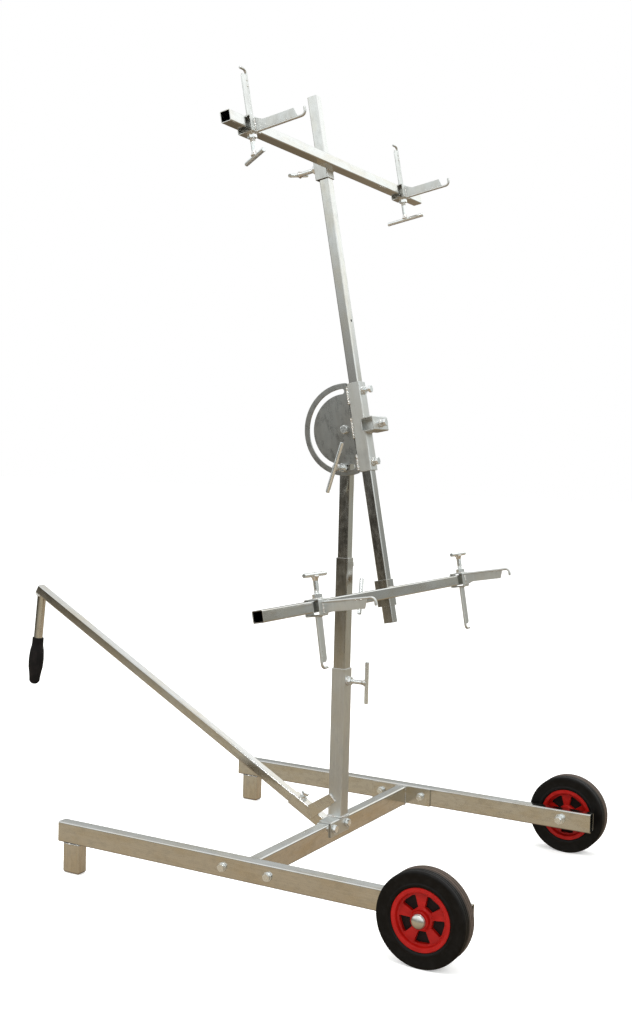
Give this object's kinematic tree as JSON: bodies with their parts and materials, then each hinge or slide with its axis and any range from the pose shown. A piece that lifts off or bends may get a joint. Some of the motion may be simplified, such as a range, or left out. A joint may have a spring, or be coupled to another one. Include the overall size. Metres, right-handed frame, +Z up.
{
  "type": "drywall lift",
  "caption": "Wheeled lift for plasterboard: H-shaped base, telescopic post, tilting mast with crossbars and sliding hooked brackets, and a pull bar with a grip.",
  "frame": {"origin": "middle of the bounding box, on the floor", "axes": "+Z up; +X along the two rails, from the feet and the pull bar to the wheels; +Y along the cross beam"},
  "size_m": [1.5824, 1.131, 1.9324],
  "materials": {
    "zinc_steel": "zinc-plated steel tube, satin, with faint mottling",
    "bright_fasteners": "bright zinc plating",
    "tyre": "black solid rubber",
    "wheel_rim": "red moulded plastic",
    "grip": "black moulded grip"
  },
  "bodies": {
    "base_frame": {"near_rail": "zinc_steel", "far_rail": "zinc_steel", "near_foot": "zinc_steel", "far_foot": "zinc_steel", "cross_beam": "zinc_steel", "end_plate_bolt_1": "bright_fasteners", "end_plate_bolt_2": "bright_fasteners", "end_plate_bolt_3": "bright_fasteners", "end_plate_bolt_4": "bright_fasteners", "end_plate_nut_1": "bright_fasteners", "end_plate_nut_2": "bright_fasteners", "end_plate_nut_3": "bright_fasteners", "end_plate_nut_4": "bright_fasteners", "post_saddle": "zinc_steel", "saddle_bolt_1": "bright_fasteners", "saddle_bolt_2": "bright_fasteners", "saddle_nut_1": "bright_fasteners", "saddle_nut_2": "bright_fasteners", "post_outer_tube": "zinc_steel", "drawbar_socket": "zinc_steel", "near_axle": "bright_fasteners", "far_axle": "bright_fasteners", "near_axle_nut": "bright_fasteners", "far_axle_nut": "bright_fasteners", "near_hub_cap": "bright_fasteners", "far_hub_cap": "bright_fasteners"},
    "near_wheel": {"near_tyre": "tyre", "near_rim": "wheel_rim"},
    "far_wheel": {"far_tyre": "tyre", "far_rim": "wheel_rim"},
    "post_clamp": {"post_clamp_screw": "bright_fasteners"},
    "middle_post": {"post_middle_tube": "zinc_steel"},
    "middle_clamp": {"post_middle_bolt": "bright_fasteners"},
    "inner_post": {"post_inner_tube": "zinc_steel", "tilt_pivot_bolt": "bright_fasteners", "tilt_pivot_nut": "bright_fasteners"},
    "tilt_clamp": {"tilt_clamp_screw": "bright_fasteners"},
    "tilt_head": {"tilt_plate": "zinc_steel", "mast_sleeve": "zinc_steel"},
    "mast_clamp_1": {"mast_set_bolt_1": "bright_fasteners"},
    "mast_clamp_2": {"mast_set_bolt_2": "bright_fasteners"},
    "bar_socket_clamp": {"bar_socket_bolt": "bright_fasteners"},
    "mast": {"mast": "zinc_steel"},
    "upper_carriage": {"upper_slider": "zinc_steel", "upper_crossbar": "zinc_steel"},
    "lower_carriage": {"lower_slider": "zinc_steel", "lower_crossbar": "zinc_steel"},
    "upper_carriage_clamp": {"upper_slider_screw": "bright_fasteners"},
    "lower_carriage_clamp": {"lower_slider_screw": "bright_fasteners"},
    "drawbar": {"drawbar": "zinc_steel", "handle_grip": "grip"},
    "drawbar_clamp": {"drawbar_clamp_bolt": "bright_fasteners"},
    "upper_near_bracket": {"upper_near_bracket": "zinc_steel"},
    "upper_near_clamp": {"upper_near_bracket_screw": "bright_fasteners"},
    "upper_far_bracket": {"upper_far_bracket": "zinc_steel"},
    "upper_far_clamp": {"upper_far_bracket_screw": "bright_fasteners"},
    "lower_near_bracket": {"lower_near_bracket": "zinc_steel"},
    "lower_near_clamp": {"lower_near_bracket_screw": "bright_fasteners"},
    "lower_far_bracket": {"lower_far_bracket": "zinc_steel"},
    "lower_far_clamp": {"lower_far_bracket_screw": "bright_fasteners"}
  },
  "joints": [
    {"name": "near_wheel_spin", "type": "hinge", "parent": "base_frame", "child": "near_wheel", "pos_m": [0.69174, -0.3975, 0.1], "axis": [0, 1, 0], "continuous": true},
    {"name": "far_wheel_spin", "type": "hinge", "parent": "base_frame", "child": "far_wheel", "pos_m": [0.69174, 0.5165, 0.1], "axis": [0, 1, 0], "continuous": true},
    {"name": "post_clamp_turn", "type": "hinge", "parent": "base_frame", "child": "post_clamp", "pos_m": [0.25274, 0.076, 0.468], "axis": [1, 0, 0], "range_deg": [0, 270]},
    {"name": "middle_post_slide", "type": "slide", "parent": "base_frame", "child": "middle_post", "axis": [0, 0, 1], "range_m": [-0.12, 0.12]},
    {"name": "middle_clamp_turn", "type": "hinge", "parent": "middle_post", "child": "middle_clamp", "pos_m": [0.23374, 0.0925, 0.759], "axis": [0, 1, 0], "range_deg": [0, 270]},
    {"name": "inner_post_slide", "type": "slide", "parent": "middle_post", "child": "inner_post", "axis": [0, 0, 1], "range_m": [-0.12, 0.2]},
    {"name": "tilt_clamp_turn", "type": "hinge", "parent": "inner_post", "child": "tilt_clamp", "pos_m": [0.23374, 0.062, 1.002], "axis": [0, -1, 0], "range_deg": [0, 270]},
    {"name": "tilt_head_swing", "type": "hinge", "parent": "inner_post", "child": "tilt_head", "pos_m": [0.23374, 0.076, 1.097], "axis": [0, -1, 0], "range_deg": [-2, 79]},
    {"name": "mast_clamp_1_turn", "type": "hinge", "parent": "tilt_head", "child": "mast_clamp_1", "pos_m": [0.27259, 0.076, 1.19501], "axis": [0.9813, 0, 0.1925], "range_deg": [0, 270]},
    {"name": "mast_clamp_2_turn", "type": "hinge", "parent": "tilt_head", "child": "mast_clamp_2", "pos_m": [0.307, 0.076, 1.01966], "axis": [0.9813, 0, 0.1925], "range_deg": [0, 270]},
    {"name": "bar_socket_clamp_turn", "type": "hinge", "parent": "tilt_head", "child": "bar_socket_clamp", "pos_m": [0.32362, 0.078, 1.11464], "axis": [0.9813, 0, 0.1925], "range_deg": [0, 270]},
    {"name": "mast_slide", "type": "slide", "parent": "tilt_head", "child": "mast", "axis": [-0.1925, 0, 0.9813], "range_m": [-0.06, 0.08]},
    {"name": "upper_carriage_slide", "type": "slide", "parent": "mast", "child": "upper_carriage", "axis": [-0.1925, 0, 0.9813], "range_m": [-0.42, 0.13]},
    {"name": "lower_carriage_slide", "type": "slide", "parent": "mast", "child": "lower_carriage", "axis": [-0.1925, 0, 0.9813], "range_m": [-0.04, 0.05]},
    {"name": "upper_carriage_clamp_turn", "type": "hinge", "parent": "upper_carriage", "child": "upper_carriage_clamp", "pos_m": [0.12493, 0.076, 1.74925], "axis": [-0.9813, 0, -0.1925], "range_deg": [0, 270]},
    {"name": "lower_carriage_clamp_turn", "type": "hinge", "parent": "lower_carriage", "child": "lower_carriage_clamp", "pos_m": [0.33208, 0.076, 0.69338], "axis": [-0.9813, 0, -0.1925], "range_deg": [0, 270]},
    {"name": "upper_near_bracket_slide", "type": "slide", "parent": "upper_carriage", "child": "upper_near_bracket", "axis": [0, 1, 0], "range_m": [-0.05, 0.3]},
    {"name": "upper_near_clamp_turn", "type": "hinge", "parent": "upper_near_bracket", "child": "upper_near_clamp", "pos_m": [0.18608, -0.3265, 1.73883], "axis": [0.1925, 0, -0.9813], "range_deg": [0, 270]},
    {"name": "upper_far_bracket_slide", "type": "slide", "parent": "upper_carriage", "child": "upper_far_bracket", "axis": [0, 1, 0], "range_m": [-0.3, 0.05]},
    {"name": "upper_far_clamp_turn", "type": "hinge", "parent": "upper_far_bracket", "child": "upper_far_clamp", "pos_m": [0.18608, 0.4465, 1.73883], "axis": [0.1925, 0, -0.9813], "range_deg": [0, 270]},
    {"name": "lower_near_bracket_slide", "type": "slide", "parent": "lower_carriage", "child": "lower_near_bracket", "axis": [0, 1, 0], "range_m": [-0.2, 0.3]},
    {"name": "lower_near_clamp_turn", "type": "hinge", "parent": "lower_near_bracket", "child": "lower_near_clamp", "pos_m": [0.38647, -0.3315, 0.72035], "axis": [-0.1582, 0, 0.9874], "range_deg": [0, 270]},
    {"name": "lower_far_bracket_slide", "type": "slide", "parent": "lower_carriage", "child": "lower_far_bracket", "axis": [0, 1, 0], "range_m": [-0.3, 0.014]},
    {"name": "lower_far_clamp_turn", "type": "hinge", "parent": "lower_far_bracket", "child": "lower_far_clamp", "pos_m": [0.38569, 0.4595, 0.72311], "axis": [-0.1754, 0, 0.9845], "range_deg": [0, 270]},
    {"name": "drawbar_slide", "type": "slide", "parent": "base_frame", "child": "drawbar", "axis": [-0.8763, 0, 0.4818], "range_m": [0, 0.05]},
    {"name": "drawbar_clamp_turn", "type": "hinge", "parent": "base_frame", "child": "drawbar_clamp", "pos_m": [0.13286, 0.0715, 0.15268], "axis": [0.4818, 0, 0.8763], "range_deg": [0, 270]}
  ]
}
